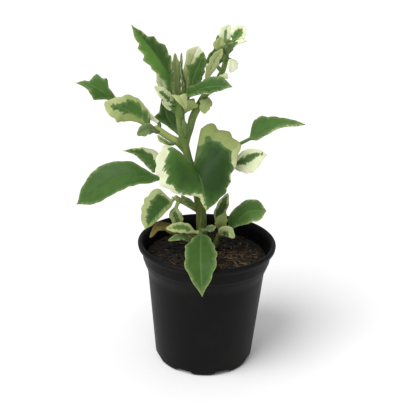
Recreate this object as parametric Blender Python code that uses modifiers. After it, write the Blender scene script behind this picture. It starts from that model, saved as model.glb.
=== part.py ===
"""A potted kalanchoe: a round nursery pot, its soil, the branching stems and every leaf.

Run it with blender --background --python part.py, or from the text editor. Sizes below are
in millimetres, and become metres where a mesh is made. +Z is up, and the origin is the
centre of the pot's flat underside. The side that the plant shows best faces -Y.
"""

import math

import bmesh
import bpy
from mathutils import Matrix, Vector

MM = 0.001
GAP = 0.3

# Pot
POT_HEIGHT = 100.0
RIM_RADIUS = 54.0
BASE_RADIUS = 39.1
WALL = 1.3
LIP_DEPTH = 4.6
COLLAR_RADIUS = 50.2
COLLAR_FOOT = 86.0
SHOULDER_RADIUS = 49.3
SHOULDER_FOOT = 75.0
BODY_TOP_RADIUS = 45.9
POT_STEPS = 48
NOTCH_COUNT = 8
NOTCH_WIDTH = 16.0
NOTCH_HEIGHT = 4.2
NOTCH_REACH = 14.0

# Soil
SOIL_HEIGHT = 88.0
SOIL_LUMP = 0.9
HOLE_DEPTH = 24.0

# Leaves: NECK is half a petiole's width, MARGIN_SHARE the margin's share of the thickness
NECK = 1.35
BLADE_THICKNESS = 2.0
MARGIN_SHARE = 0.48
TIP_HALF_WIDTH = 0.55
PETIOLE_ROW = 9.0
SPREAD_FADE = 2.2
ENDS_PULL = 0.9
WIDEST = 0.45
TAPER = 1.25

# Each stem is a list of points on its axis with the radius there. The first three stand in
# the soil, and the others spring from inside the main stem.
STEMS = {
    "main": [
        (-3, 0, 65, 4.2), (-3, 0, 90, 4.2), (-4.4, 0, 109, 4.1), (-5.5, 0, 125, 4),
        (-9, 0, 141, 3.6), (-13.5, 0, 158, 3.1), (-17.5, 0, 172, 3), (-21, 0, 188, 3.3),
        (-23.2, 0, 203, 3.3), (-23.8, 0, 213, 2.4),
    ],
    "side_shoot": [
        (5, 0, 66, 2.1), (5, 0, 90, 2.1), (7, 0, 98, 2), (9.5, 0, 105, 1.8), (12, 0, 112, 1.6),
    ],
    "front_shoot": [
        (-4, -10, 66, 1.9), (-4, -10, 90, 1.9), (-4.5, -10, 102, 1.8), (-5, -10, 114, 1.6),
    ],
    "right_branch": [
        (-18, 0, 174, 2.3), (-17, 0, 182, 2.5), (-15, 0, 189.5, 2.7), (-13.5, 0, 197, 2.9),
        (-10, 0, 205, 2.8), (-5.5, 1, 213, 2.5), (-0.5, 2, 220, 2.2), (4, 2, 226, 2.1),
        (7.5, 2, 233, 2), (9, 2, 240, 2), (9.5, 2, 247, 1.9), (10.5, 1, 254.5, 1.4),
    ],
    "left_branch": [
        (-18, 0, 171.5, 2.4), (-24, -1, 178.5, 2.7), (-29.5, -1.5, 182, 2.7),
        (-35.5, -2, 186, 2.5), (-41, -2, 190, 2),
    ],
    "low_branch": [
        (-6, 0, 123, 2), (-10, -1, 126, 2.1), (-17, -3, 131, 2), (-23, -5, 135, 1.9),
        (-25.5, -5.5, 137, 1.9),
    ],
}
BRANCHES = ("right_branch", "left_branch", "low_branch")
ROOTED = ("main", "side_shoot", "front_shoot")

COLOURS = {
    "pot_black": ((0.012, 0.013, 0.012), 0.38),
    "soil_dark": ((0.018, 0.014, 0.011), 0.95),
    "stem_green": ((0.16, 0.24, 0.06), 0.55),
    "leaf_green": ((0.045, 0.16, 0.03), 0.45),
    "leaf_variegated": ((0.16, 0.30, 0.09), 0.5),
    "leaf_cream": ((0.62, 0.66, 0.36), 0.5),
    "leaf_dry": ((0.23, 0.13, 0.06), 0.85),
}


def leaf(stem, at, via, tip, face, half, kind="leaf_variegated", **more):
    """One leaf's design. It leaves its stem at a height, passes via and ends at its tip.

    face is the way the upper side looks. half is half the greatest width at either side of
    the midrib, or a list of half widths at even steps from the blade's base to its tip.
    The first of each pair belongs to the side on the left when the upper side is looked at
    with the tip up. Angles are in degrees: fold lifts a side, curl bends it further out, and
    spread turns its first rows towards back, fading along the blade.
    """
    design = dict(
        stem=stem, at=at, via=via, tip=tip, face=face, half=half, kind=kind,
        petiole=4.0, spread=(0, 0), fold=(14, 14), back=(0, 0, 1), curl=(0, 0), teeth=4,
        depth=0.09, columns=4,
    )
    design.update(more)
    return design


LEAVES = {
    "leaf_crown_tall": leaf(
        "main", 205, (-33.5, -3.5, 232.5), (-58, 2, 262.5), (0.35, -1, 0.2),
        ((1, 1.5, 3, 7.5, 9.5, 11, 11, 8.5, 6, 3.5, 0), (1, 2.5, 4, 5, 7.2, 9.2, 9, 7, 4, 2.2, 0)),
        "leaf_green", petiole=8, teeth=7, fold=(28, 24), columns=6, depth=0.11),
    "leaf_crown_cream_left": leaf(
        "main", 209.5, (-26.5, 6, 229.5), (-27.5, 9, 242.5), (0.5, -0.85, 0.5), (4, 4),
        "leaf_cream", teeth=4, depth=0.14),
    "leaf_crown_edge": leaf(
        "main", 213, (-22.8, 1, 232), (-22.5, 2, 244), (1, -0.15, 0), (3, 3), "leaf_green"),
    "leaf_crown_cream_back": leaf(
        "main", 201, (-37, 7, 223), (-40.5, 10, 229), (0.3, -1, 0.2), (5, 5), "leaf_cream"),
    "leaf_crown_cream_broad": leaf(
        "main", 206, (-18, 14, 228), (-11, 17, 246.5), (0, -1, 0.3),
        ((1, 1.5, 2.5, 3.8, 3.8, 4.2, 4, 5.2, 6, 6.2, 0.5),
         (1, 1.5, 2, 3, 5.5, 7.8, 8.8, 9.8, 10, 8.5, 0.5)),
        "leaf_cream", columns=6, teeth=5, depth=0.12),
    "leaf_crown_upright": leaf(
        "main", 209.3, (-13.5, 2, 228), (-7, 2, 245), (0.1, -1, 0),
        ((1, 1, 2, 3, 4.5, 5.8, 8, 3.8, 3.5, 2.5, 0.5),
         (1, 2, 4, 5.8, 6.5, 6.8, 6.2, 5.8, 5.2, 3.8, 0.5)),
        "leaf_green", petiole=6, teeth=5, depth=0.07, columns=6),
    "leaf_crown_right": leaf(
        "main", 213, (-3.5, -13, 223), (14, -20, 226), (0, -0.8, 0.6),
        ((2, 6, 6, 5.8, 5.5, 6, 7.2, 7.8, 6.5, 4.2, 0),
         (1, 1.5, 2, 3, 4, 5.8, 6, 5.2, 3.5, 1.5, 0)),
        "leaf_green", petiole=3, teeth=5, columns=6, depth=0.06),
    "leaf_crown_small_left": leaf(
        "main", 208, (-34.5, -11.5, 217.5), (-40.5, -14, 223), (0, -0.7, 0.7), (5.5, 4.5), teeth=3),
    "leaf_crown_front": leaf(
        "main", 209.8, (-22.8, -13, 216), (-18, -15.5, 208), (0, -0.2, 1), (5.5, 5.5),
        "leaf_cream", teeth=3),
    "leaf_crown_ruffle": leaf(
        "main", 201.5, (-16, -4, 208), (-9.5, -5, 207.5), (0, -1, 0.5), (4.5, 4.5), "leaf_cream",
        petiole=2, teeth=3, depth=0.2),
    "leaf_fork_back": leaf(
        "main", 184, (-32.5, 14, 192.5), (-36.5, 18, 206), (0, -1, 0.4),
        ((1, 1.5, 2.5, 3.5, 5, 7.5, 9.5, 5, 3.5, 2.5, 1.5),
         (1, 3.5, 6.2, 8.2, 9, 9.5, 9.5, 9.5, 8, 5, 1.5)),
        "leaf_green", teeth=5, depth=0.04),
    "leaf_fork_small": leaf(
        "main", 184, (-18.5, -7.5, 192), (-20, -7.5, 198), (0, 1, 0.3), (2.4, 2.4),
        "leaf_green", petiole=2, teeth=2),
    "leaf_right_hanging": leaf(
        "right_branch", 212, (-2.5, -5, 213), (-5, -7, 202.5), (0.1, -0.4, 1),
        ((2, 3, 3.5, 3.8, 4, 3.5, 3.2, 2.5, 2, 1.5, 0),
         (3, 5.2, 5.5, 5.5, 5.2, 5, 4.8, 4.5, 4.2, 3, 0)),
        "leaf_cream", teeth=3),
    "leaf_right_striped": leaf(
        "right_branch", 220, (-1, -3, 236.5), (6.5, -5, 249), (0, 1, 0.3),
        ((1, 1, 1.8, 3, 3.8, 4.2, 4.8, 3.4, 3.2, 2.5, 0.5),
         (1, 2, 2.5, 3, 4.2, 2.8, 3.8, 4, 3.8, 2.5, 0.5)),
        "leaf_cream", teeth=5, fold=(-20, -20), depth=0.05),
    "leaf_right_back": leaf(
        "right_branch", 232, (1.5, 9, 240), (3, 12, 256), (0, -1, 0),
        ((2, 6, 6.5, 6, 4, 2, 1, 0.8, 1, 1, 0), (3, 8, 9.2, 9.2, 9, 8.5, 7.5, 6, 4.5, 2.5, 0)),
        "leaf_green", teeth=5, depth=0.08),
    "leaf_right_behind": leaf(
        "right_branch", 212, (0, 16, 219), (4, 28, 222), (0, -0.3, 1), (7, 7)),
    "leaf_right_droop": leaf(
        "right_branch", 241, (12.5, -3, 241), (13, -5, 232.5), (0.5, -1, 0.2), (5.5, 3),
        "leaf_cream", petiole=3, teeth=3),
    "leaf_right_front": leaf(
        "right_branch", 229, (8, -6, 230.5), (11, -8, 229), (0, -0.5, 1), (3.2, 3.2),
        "leaf_cream", petiole=3, teeth=3),
    "leaf_top_up": leaf(
        "right_branch", 250, (8.5, 7.5, 258), (11, 8, 264), (0, -1, 0.5), (5, 5), "leaf_cream",
        petiole=3, teeth=3),
    "leaf_top_right": leaf(
        "right_branch", 253, (17, 1, 258.5), (21.5, 0, 264.5), (-0.3, -1, 0.3), (6, 6), petiole=3,
        teeth=4),
    "leaf_top_low": leaf(
        "right_branch", 249.5, (17, -4.5, 253.5), (23, -7, 255.5), (0, -0.5, 1), (3, 3),
        "leaf_cream", petiole=3, teeth=3),
    "leaf_top_front": leaf(
        "right_branch", 245, (12, -10, 252), (16.5, -13, 255.5), (0.2, 0.5, 1), (3, 3),
        "leaf_green", petiole=2.5, teeth=3),
    "leaf_top_left": leaf(
        "right_branch", 247, (4.5, -1.5, 250), (5.3, -1.5, 256.5), (0, -1, 0.3), (4.5, 4.3),
        "leaf_cream", petiole=2, teeth=2),
    "leaf_left_variegated": leaf(
        "left_branch", 190, (-60.5, -5, 202.5), (-77, -6, 208), (0.1, -1, 0.5),
        ((1, 1, 2, 5, 8.5, 10, 11.5, 10.2, 8.5, 6.5, 1.5),
         (3, 7, 8.8, 9.5, 10.8, 11.5, 10.2, 7.8, 5.5, 3.5, 1)),
        petiole=7, columns=6, teeth=5, depth=0.04),
    "leaf_left_long": leaf(
        "left_branch", 187, (-83.5, 4, 216), (-99, 6, 219), (0, -1, 0.6),
        ((1, 2, 3.5, 6.5, 9, 8, 6, 3.8, 2, 1, 0), (1, 3, 4, 5.5, 9.5, 8.5, 9, 3.5, 2.8, 1.8, 0)),
        "leaf_green", petiole=40, teeth=5, columns=6, depth=0.05),
    "leaf_left_ribbon": leaf(
        "left_branch", 188.5, (-46, 1, 198.5), (-54.5, 2, 210.5), (0, -1, 0), (2.4, 2.4),
        "leaf_cream"),
    "leaf_left_hanging": leaf(
        "left_branch", 188, (-45, -10, 190.5), (-53, -12, 186.5), (0, -1, 0.6), (4.5, 4.5), teeth=3),
    "leaf_left_under": leaf(
        "left_branch", 180, (-35, -8, 181.5), (-38.5, -7.5, 185.5), (0, -0.6, 1), (2.4, 2.4),
        "leaf_cream", teeth=3),
    "leaf_heart": leaf(
        "main", 161, (-6, -20, 156), (-1, -27, 135), (0.1, -0.5, 0.9),
        ((22, 31, 32, 34, 34, 26, 21.5, 18, 12.5, 6, 0),
         (5, 33, 38, 39, 36, 32.5, 23, 5, 3, 1.5, 0)),
        petiole=5, spread=(96, 56), back=(0.04, 0.25, 0.93), fold=(22, 8), curl=(-30, -15),
        teeth=8, columns=8, depth=0.035),
    "leaf_upper_right": leaf(
        "main", 161, (48, 8, 189.5), (70, 6, 193.5), (0, -0.6, 0.9),
        ((1, 8, 12, 13, 11.2, 9, 7.2, 5.8, 4.2, 2.6, 0), (3, 4.2, 3.4, 3, 2.5, 1.8, 1.4, 1.2, 1.2, 1, 0)),
        "leaf_green", petiole=46, curl=(0, -60), teeth=6, columns=6, depth=0.03),
    "leaf_mid_right": leaf(
        "main", 155, (25, 1, 166), (42, -4, 172), (0, -1, 0.5),
        ((1, 1.5, 2.5, 4.5, 6, 7.2, 7, 6.8, 5.5, 4.2, 0.5),
         (1, 4, 7.5, 9.5, 11, 11.8, 11.2, 10, 6.8, 3.2, 0.5)),
        petiole=24, teeth=5, depth=0.04),
    "leaf_large_left": leaf(
        "main", 150, (-62, -6, 153), (-99, -10, 130), (0, -0.6, 1),
        ((2, 8, 11.5, 14, 15.5, 15.5, 15.2, 13.8, 11.5, 6, 0),
         (1, 3, 6.5, 11, 13, 14.8, 15.2, 14.2, 11, 6.8, 0)),
        "leaf_green", petiole=22, teeth=7, columns=6, depth=0.025),
    "leaf_upper_left": leaf(
        "main", 156, (-48.5, 9, 164), (-66, 12, 166.5), (0, -1, 0.4),
        ((1, 5, 9.5, 9, 7.5, 6, 4.2, 2.2, 1, 0.6, 0),
         (1, 2, 3, 5.8, 6.5, 6.2, 5.5, 4.5, 3.2, 1.8, 0)),
        petiole=16, teeth=5, depth=0.03),
    "leaf_low_left": leaf(
        "low_branch", 137, (-33.5, -13, 130.5), (-47, -15, 113.5), (0, -1, 0.4),
        ((2, 3, 3.5, 3.5, 3.5, 3.5, 3, 2.8, 2.2, 1.2, 0),
         (6, 13, 15.2, 15.2, 15, 13.8, 12.5, 10.5, 8.2, 5.5, 0)),
        teeth=5, petiole=2, columns=6, depth=0.03),
    "leaf_low_narrow": leaf(
        "low_branch", 134.3, (-24.6, -9.5, 125.5), (-20.2, -10, 115), (0, -1, 0.2), (5, 5), teeth=3),
    "leaf_axil": leaf(
        "main", 131, (-14, -8, 134), (-20.5, -9, 139.5), (0, -1, 0), (2.6, 2.6), "leaf_green",
        petiole=2, teeth=2),
    "leaf_back": leaf(
        "main", 149, (-5, 28, 151), (2, 46, 138), (0, 0.5, 1), (14, 14), "leaf_green",
        petiole=8, teeth=6, columns=6),
    "leaf_crown_rear": leaf(
        "main", 200, (-24, 17, 207), (-27, 30, 211), (0, -0.6, 1), (8, 8)),
    "leaf_over_rim": leaf(
        "front_shoot", 110.5, (-4, -52, 104), (-2, -63, 84), (0, -0.5, 0.9),
        ((1.5, 5.5, 7.8, 9.5, 11.2, 11.8, 12, 10.5, 7.5, 3.5, 0),
         (1.5, 4.5, 6.8, 9.5, 12, 11, 11.8, 10.8, 7.5, 3.8, 0)),
        "leaf_green", petiole=2, teeth=6, columns=6, depth=0.05),
    "leaf_front_left": leaf(
        "front_shoot", 110.5, (-17.5, -14, 115), (-31, -18, 116), (0, -0.8, 0.7), (4.5, 4.5),
        teeth=4),
    "leaf_front_low": leaf(
        "front_shoot", 103, (-19, -17, 109.5), (-29, -22, 108), (0, -0.8, 0.7), (3.5, 3), teeth=3),
    "leaf_front_small": leaf(
        "front_shoot", 112.4, (0.5, -14, 115), (6.5, -16, 118), (0, -1, 0.4), (2.8, 2.8), teeth=3),
    "leaf_dry": leaf(
        "main", 103, (-36, -9, 114.5), (-43.5, -12, 105.5), (0, -0.6, 1), (4.5, 4.5), "leaf_dry",
        petiole=10, curl=(-60, -60), teeth=3, depth=0.15),
    "leaf_shoot_up": leaf(
        "side_shoot", 110, (10.5, -6, 118.5), (13.5, -6, 125.5), (0, -1, 0), (4.6, 4.6),
        "leaf_cream", petiole=2, teeth=3),
    "leaf_shoot_back": leaf(
        "side_shoot", 108, (9, 5, 119.5), (15, 8, 136), (0, -1, 0), (4.8, 4.8), "leaf_green",
        teeth=3),
    "leaf_shoot_right": leaf(
        "side_shoot", 109, (30, -2, 125), (44.5, -4, 127.5), (0, -0.8, 0.6),
        ((1, 5, 7, 8.2, 8, 8, 8.8, 9, 7.8, 5.2, 0), (1, 1.5, 3, 6, 8.2, 9.2, 9.8, 9.8, 9, 7, 0)),
        teeth=5, petiole=6, columns=6, depth=0.03),
    "leaf_shoot_low": leaf(
        "side_shoot", 104, (14.5, -9.5, 112), (21, -12, 107.5), (0, -1, 0.1), (5, 4.5), teeth=3),
}


def collection(name):
    made = bpy.data.collections.new(name)
    bpy.context.scene.collection.children.link(made)
    return made


def material(name):
    """The part's own Principled material, in its plain colour."""
    found = bpy.data.materials.get(name)
    if found:
        return found
    made = bpy.data.materials.new(name)
    made.use_nodes = True
    colour, roughness = COLOURS[name]
    shader = made.node_tree.nodes["Principled BSDF"]
    shader.inputs["Base Color"].default_value = (*colour, 1)
    shader.inputs["Roughness"].default_value = roughness
    shader.inputs["Metallic"].default_value = 0
    made.diffuse_color = (*colour, 1)
    return made


def link(name, data, group, slot=None):
    made = bpy.data.objects.new(name, data)
    group.objects.link(made)
    if slot:
        data.materials.append(material(slot))
    return made


def evaluated_mesh(obj):
    """The object's mesh with its modifiers applied, and with coinciding points made one."""
    graph = bpy.context.evaluated_depsgraph_get()
    mesh = bpy.data.meshes.new_from_object(obj.evaluated_get(graph))
    bm = bmesh.new()
    bm.from_mesh(mesh)
    bmesh.ops.remove_doubles(bm, verts=bm.verts, dist=1e-6)
    bm.to_mesh(mesh)
    bm.free()
    return mesh


def turned(name, profile, steps, group, slot):
    """A profile of (radius, height) turned about Z. It runs down the outside, then back up."""
    mesh = bpy.data.meshes.new(name)
    points = [(radius * MM, 0, height * MM) for radius, height in profile]
    edges = [(i, i + 1) for i in range(len(points) - 1) if profile[i][0] or profile[i + 1][0]]
    if profile[0][0] > 0:
        edges.append((len(points) - 1, 0))
    mesh.from_pydata(points, edges, [])
    made = link(name, mesh, group, slot)
    screw = made.modifiers.new("Turn", "SCREW")
    screw.axis = "Z"
    screw.steps = steps
    screw.render_steps = steps
    screw.use_merge_vertices = True
    screw.merge_threshold = 1e-5
    return made


def difference(target, cutter):
    cut = target.modifiers.new("Cut " + cutter.name, "BOOLEAN")
    cut.operation = "DIFFERENCE"
    cut.object = cutter


def as_cutter(obj):
    obj.hide_render = True
    obj.display_type = "WIRE"
    return obj


def make_pot(group, cutters):
    lip_foot = POT_HEIGHT - LIP_DEPTH
    outside = [
        (RIM_RADIUS - 1.8, POT_HEIGHT), (RIM_RADIUS - 0.6, POT_HEIGHT - 0.7),
        (RIM_RADIUS, POT_HEIGHT - 2.2), (RIM_RADIUS - 0.5, lip_foot + 0.5),
        (RIM_RADIUS - 1.4, lip_foot), (COLLAR_RADIUS + 0.3, lip_foot - 0.3),
        (COLLAR_RADIUS, lip_foot - 1.2), (SHOULDER_RADIUS + 0.4, COLLAR_FOOT),
        (SHOULDER_RADIUS, COLLAR_FOOT - 0.6), (SHOULDER_RADIUS - 0.8, COLLAR_FOOT - 3.5),
        (BODY_TOP_RADIUS + 1, SHOULDER_FOOT + 3.5), (BODY_TOP_RADIUS, SHOULDER_FOOT),
        (BASE_RADIUS + 0.4, 3), (BASE_RADIUS, 1), (BASE_RADIUS - 1, 0), (0, 0),
    ]
    inside = [
        (0, WALL), (BASE_RADIUS - WALL - 0.6, WALL),
        (BODY_TOP_RADIUS - WALL, SHOULDER_FOOT), (SHOULDER_RADIUS - WALL, COLLAR_FOOT - 2),
        (COLLAR_RADIUS - WALL, lip_foot), (RIM_RADIUS - 4, POT_HEIGHT - 1.6),
        (RIM_RADIUS - 3, POT_HEIGHT - 0.3),
    ]
    pot = turned("pot", outside + inside, POT_STEPS, group, "pot_black")
    for i in range(NOTCH_COUNT):
        notch = make_notch(f"notch_{i + 1}", cutters)
        angle = (i + 0.5) * math.tau / NOTCH_COUNT
        notch.rotation_euler.z = angle
        difference(pot, notch)
    return pot


def make_notch(name, cutters):
    """A flattened cylinder along X that cuts one arched drain opening through the foot."""
    bm = bmesh.new()
    bmesh.ops.create_cone(
        bm, cap_ends=True, segments=20, radius1=NOTCH_WIDTH / 2 * MM,
        radius2=NOTCH_WIDTH / 2 * MM, depth=NOTCH_REACH * MM,
    )
    bmesh.ops.rotate(bm, verts=bm.verts, matrix=Matrix.Rotation(math.pi / 2, 3, "Y"))
    bmesh.ops.scale(bm, verts=bm.verts, vec=(1, 1, 2 * NOTCH_HEIGHT / NOTCH_WIDTH))
    bmesh.ops.translate(bm, verts=bm.verts, vec=(BASE_RADIUS * MM, 0, 0))
    mesh = bpy.data.meshes.new(name)
    bm.to_mesh(mesh)
    bm.free()
    return as_cutter(link(name, mesh, cutters))


def make_soil(group, cutters):
    foot = WALL + GAP
    profile = [
        (0, SOIL_HEIGHT + 1.5), (14, SOIL_HEIGHT + 1.2), (28, SOIL_HEIGHT + 0.4),
        (40, SOIL_HEIGHT - 0.4), (SHOULDER_RADIUS - WALL - 0.6, SOIL_HEIGHT - 1.2),
        (SHOULDER_RADIUS - WALL - 0.9, COLLAR_FOOT - 3), (BODY_TOP_RADIUS - WALL - 0.6, SHOULDER_FOOT),
        (BASE_RADIUS - WALL - 1.1, foot),
        (0, foot),
    ]
    rough = turned("soil_rough", profile, POT_STEPS, group, "soil_dark")
    mesh = evaluated_mesh(rough)
    bpy.data.objects.remove(rough)
    mesh.name = "soil"
    for vertex in mesh.vertices:
        x, y, z = (axis / MM for axis in vertex.co)
        if z > SOIL_HEIGHT - 1 and math.hypot(x, y) > 1:
            lump = math.sin(0.31 * x + 1) * math.cos(0.37 * y) + math.sin(0.9 * x + 0.7 * y)
            vertex.co.z += SOIL_LUMP * lump / 2 * MM
    soil = link("soil", mesh, group)
    for name in ROOTED:
        x, y, _, radius = STEMS[name][0]
        bm = bmesh.new()
        bmesh.ops.create_cone(
            bm, cap_ends=True, segments=20, radius1=(radius + GAP) * MM,
            radius2=(radius + GAP) * MM, depth=2 * HOLE_DEPTH * MM,
        )
        hole_mesh = bpy.data.meshes.new("hole_" + name)
        bm.to_mesh(hole_mesh)
        bm.free()
        hole = as_cutter(link("hole_" + name, hole_mesh, cutters))
        hole.location = (x * MM, y * MM, SOIL_HEIGHT * MM)
        difference(soil, hole)
    return soil


def smooth_points(points, between):
    """Points on the smooth curve through the given ones, with so many steps between each."""
    found = []
    vectors = [Vector(point) for point in points]
    for i in range(len(vectors) - 1):
        before = vectors[max(i - 1, 0)]
        after = vectors[min(i + 2, len(vectors) - 1)]
        start, end = vectors[i], vectors[i + 1]
        for k in range(between):
            t = k / between
            leave, reach = (end - before) / 2, (after - start) / 2
            found.append(
                start * (2 * t**3 - 3 * t**2 + 1) + leave * (t**3 - 2 * t**2 + t)
                + end * (3 * t**2 - 2 * t**3) + reach * (t**3 - t**2)
            )
    return found + [vectors[-1]]


def stem_mesh(name, group):
    """A stem as a round tube that follows its axis and its changing radius."""
    curve = bpy.data.curves.new(name, "CURVE")
    curve.dimensions = "3D"
    curve.bevel_depth = MM
    curve.bevel_resolution = 2
    curve.use_fill_caps = True
    axis = smooth_points([point[:3] for point in STEMS[name]], 2)
    radii = smooth_points([(point[3], 0, 0) for point in STEMS[name]], 2)
    spline = curve.splines.new("POLY")
    spline.points.add(len(axis) - 1)
    for point, place, radius in zip(spline.points, axis, radii):
        point.co = (*(place * MM), 1)
        point.radius = radius.x
    guide = link(name + "_curve", curve, group)
    mesh = evaluated_mesh(guide)
    bpy.data.objects.remove(guide)
    mesh.name = name
    return mesh


def make_stems(group):
    """The main stem with its branches grown together, and the two shoots beside it."""
    for name in ("side_shoot", "front_shoot"):
        link(name, stem_mesh(name, group), group, "stem_green")
    trunk = link("main_stem", stem_mesh("main", group), group, "stem_green")
    joined = []
    for name in BRANCHES:
        branch = link(name, stem_mesh(name, group), group, "stem_green")
        grow = trunk.modifiers.new("Grow " + name, "BOOLEAN")
        grow.operation = "UNION"
        grow.object = branch
        joined.append(branch)
    whole = evaluated_mesh(trunk)
    trunk.modifiers.clear()
    trunk.data = whole
    for branch in joined:
        bpy.data.objects.remove(branch)


def stem_at(name, height):
    """The point on a stem's axis at a height, the axis's direction and the radius there."""
    points = STEMS[name]
    for low, high in zip(points, points[1:]):
        if low[2] <= height <= high[2]:
            share = (height - low[2]) / (high[2] - low[2])
            mid = Vector(low).lerp(Vector(high), share)
            axis = Vector(high[:3]) - Vector(low[:3])
            return mid.to_3d(), axis.normalized(), mid.w
    raise ValueError(f"{name} has no point at height {height}")


def bend(design, start, away, share):
    """Place and direction on the midrib at a share of its length, in two smooth spans."""
    via, tip = Vector(design["via"]), Vector(design["tip"])
    first, second = (via - start).length, (tip - via).length
    middle = first / (first + second)
    through = tip - start
    if share <= middle:
        t = share / middle
        ends = (start, via, away * first * ENDS_PULL, through * middle)
    else:
        t = (share - middle) / (1 - middle)
        ends = (via, tip, through * (1 - middle), (tip - via) * ENDS_PULL)
    a, b, leave, reach = ends
    place = (
        a * (2 * t**3 - 3 * t**2 + 1) + leave * (t**3 - 2 * t**2 + t)
        + b * (3 * t**2 - 2 * t**3) + reach * (t**3 - t**2)
    )
    heading = (
        a * (6 * t**2 - 6 * t) + leave * (3 * t**2 - 4 * t + 1)
        + b * (6 * t - 6 * t**2) + reach * (3 * t**2 - 2 * t)
    )
    return place, heading.normalized()


def along_list(values, share):
    """The value of a smooth curve through evenly spaced values, at a share of its length."""
    place = min(share, 1) * (len(values) - 1)
    i = min(int(place), len(values) - 2)
    t = place - i
    start, end = values[i], values[i + 1]
    leave = (end - values[max(i - 1, 0)]) / 2
    reach = (values[min(i + 2, len(values) - 1)] - start) / 2
    return (
        start * (2 * t**3 - 3 * t**2 + 1) + leave * (t**3 - 2 * t**2 + t)
        + end * (3 * t**2 - 2 * t**3) + reach * (t**3 - t**2)
    )


def half_width(design, blade, side):
    """Half the blade's width, teeth included, at a share of its length."""
    width = design["half"][side]
    if isinstance(width, tuple):
        width = along_list(width, blade)
    else:
        low, high = blade / WIDEST, (1 - blade) / (1 - WIDEST)
        width *= max(low, 0) ** (WIDEST * TAPER) * max(high, 0) ** ((1 - WIDEST) * TAPER)
    toothed = 1 + design["depth"] * math.cos(math.tau * design["teeth"] * blade)
    return max(width * toothed, TIP_HALF_WIDTH)


def across(width, fold, curl, share):
    """Sideways and upward reach of a cross-section that starts at a fold and curls evenly."""
    fold, curl = math.radians(fold), math.radians(curl)
    if abs(curl) < 0.01:
        return width * share * math.cos(fold), width * share * math.sin(fold)
    turn = fold + curl * share
    sideways = width / curl * (math.sin(turn) - math.sin(fold))
    return sideways, width / curl * (math.cos(fold) - math.cos(turn))


def leaf_point(design, start, away, length, along, side_share):
    """A point of the blade's middle surface. along is -1 to 0 on the petiole, then to 1."""
    petiole = design["petiole"] / length
    blade = max(along, 0)
    share = petiole * (along + 1) if along < 0 else petiole + (1 - petiole) * blade
    place, heading = bend(design, start, away, share)
    upper = Vector(design["face"])
    upper = (upper - heading * upper.dot(heading)).normalized()
    sideways = heading.cross(upper)
    side = int(side_share > 0)
    if along <= 0:
        return place + sideways * NECK * side_share
    out, up = across(
        half_width(design, blade, side), design["fold"][side], design["curl"][side],
        abs(side_share),
    )
    turn = math.radians(design["spread"][side]) * (1 - blade) ** SPREAD_FADE
    back = Vector(design["back"]).normalized()
    row = sideways * math.copysign(math.cos(turn), side_share) + back * math.sin(turn)
    return place + row * out + upper * up


def make_leaf(name, design, group):
    """One leaf: a waved grid along its midrib, given a fleshy thickness by Solidify."""
    root, axis, radius = stem_at(design["stem"], design["at"])
    away = Vector(design["via"]) - root
    away = (away - axis * away.dot(axis)).normalized()
    start = root + away * (radius + GAP)
    via, tip = Vector(design["via"]), Vector(design["tip"])
    length = (via - start).length + (tip - via).length
    petiole_rows = max(1, round(design["petiole"] / PETIOLE_ROW))
    blade_rows = 2 * design["teeth"]
    rows = petiole_rows + blade_rows
    bm = bmesh.new()
    bmesh.ops.create_grid(bm, x_segments=design["columns"], y_segments=rows, size=1)
    weights = {}
    for vertex in bm.verts:
        side_share = vertex.co.x
        row = (vertex.co.y + 1) / 2 * rows
        if row <= petiole_rows:
            along = row / petiole_rows - 1
        else:
            along = (row - petiole_rows) / blade_rows
        flesh = 1 - abs(side_share) if along > 0 else 1
        flesh *= 1 - max(along, 0) ** 3
        weights[vertex.index] = MARGIN_SHARE + (1 - MARGIN_SHARE) * flesh
        vertex.co = leaf_point(design, start, away, length, along, side_share) * MM
    bmesh.ops.triangulate(bm, faces=bm.faces)
    mesh = bpy.data.meshes.new(name)
    bm.to_mesh(mesh)
    bm.free()
    made = link(name, mesh, group, design["kind"])
    mesh.shade_smooth()
    thickness = made.vertex_groups.new(name="thickness")
    for index, weight in weights.items():
        thickness.add([index], weight, "REPLACE")
    solid = made.modifiers.new("Flesh", "SOLIDIFY")
    solid.thickness = BLADE_THICKNESS * MM
    solid.offset = 0
    solid.vertex_group = "thickness"
    solid.thickness_vertex_group = 0
    return made


def main():
    for obj in list(bpy.data.objects):
        bpy.data.objects.remove(obj)
    group = collection("potted_kalanchoe")
    cutters = collection("cutters")
    make_pot(group, cutters)
    make_soil(group, cutters)
    make_stems(group)
    for name, design in LEAVES.items():
        make_leaf(name, design, group)


main()
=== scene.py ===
"""The look of the potted kalanchoe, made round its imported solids.

The leaves, stems, soil and pot are built again here in finer form, in metres and in the places
of their solids, and each gets a finish made of shader nodes. Lengths in the tables are in
millimetres.
"""

import math

import bmesh
import bpy
import numpy
from mathutils import Matrix, Vector, noise


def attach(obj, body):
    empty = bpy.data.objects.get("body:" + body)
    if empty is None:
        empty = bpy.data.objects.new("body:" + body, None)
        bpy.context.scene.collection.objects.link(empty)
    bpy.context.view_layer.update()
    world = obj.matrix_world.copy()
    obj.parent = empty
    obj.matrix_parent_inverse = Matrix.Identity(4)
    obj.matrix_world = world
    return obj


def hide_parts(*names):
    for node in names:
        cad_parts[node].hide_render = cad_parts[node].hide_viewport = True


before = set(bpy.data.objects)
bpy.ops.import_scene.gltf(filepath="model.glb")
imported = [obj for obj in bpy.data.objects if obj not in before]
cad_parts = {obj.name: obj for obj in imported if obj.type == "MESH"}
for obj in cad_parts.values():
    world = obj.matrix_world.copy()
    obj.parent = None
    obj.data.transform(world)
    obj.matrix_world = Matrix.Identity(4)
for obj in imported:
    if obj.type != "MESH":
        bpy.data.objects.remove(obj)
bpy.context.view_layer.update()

MM = 0.001

# Camera, read from the rim ellipse and the base line
EYE = (0, -0.533, 0.344)
PITCH = 22.2
ROLL = 1.9
LENS = 64.9

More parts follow.
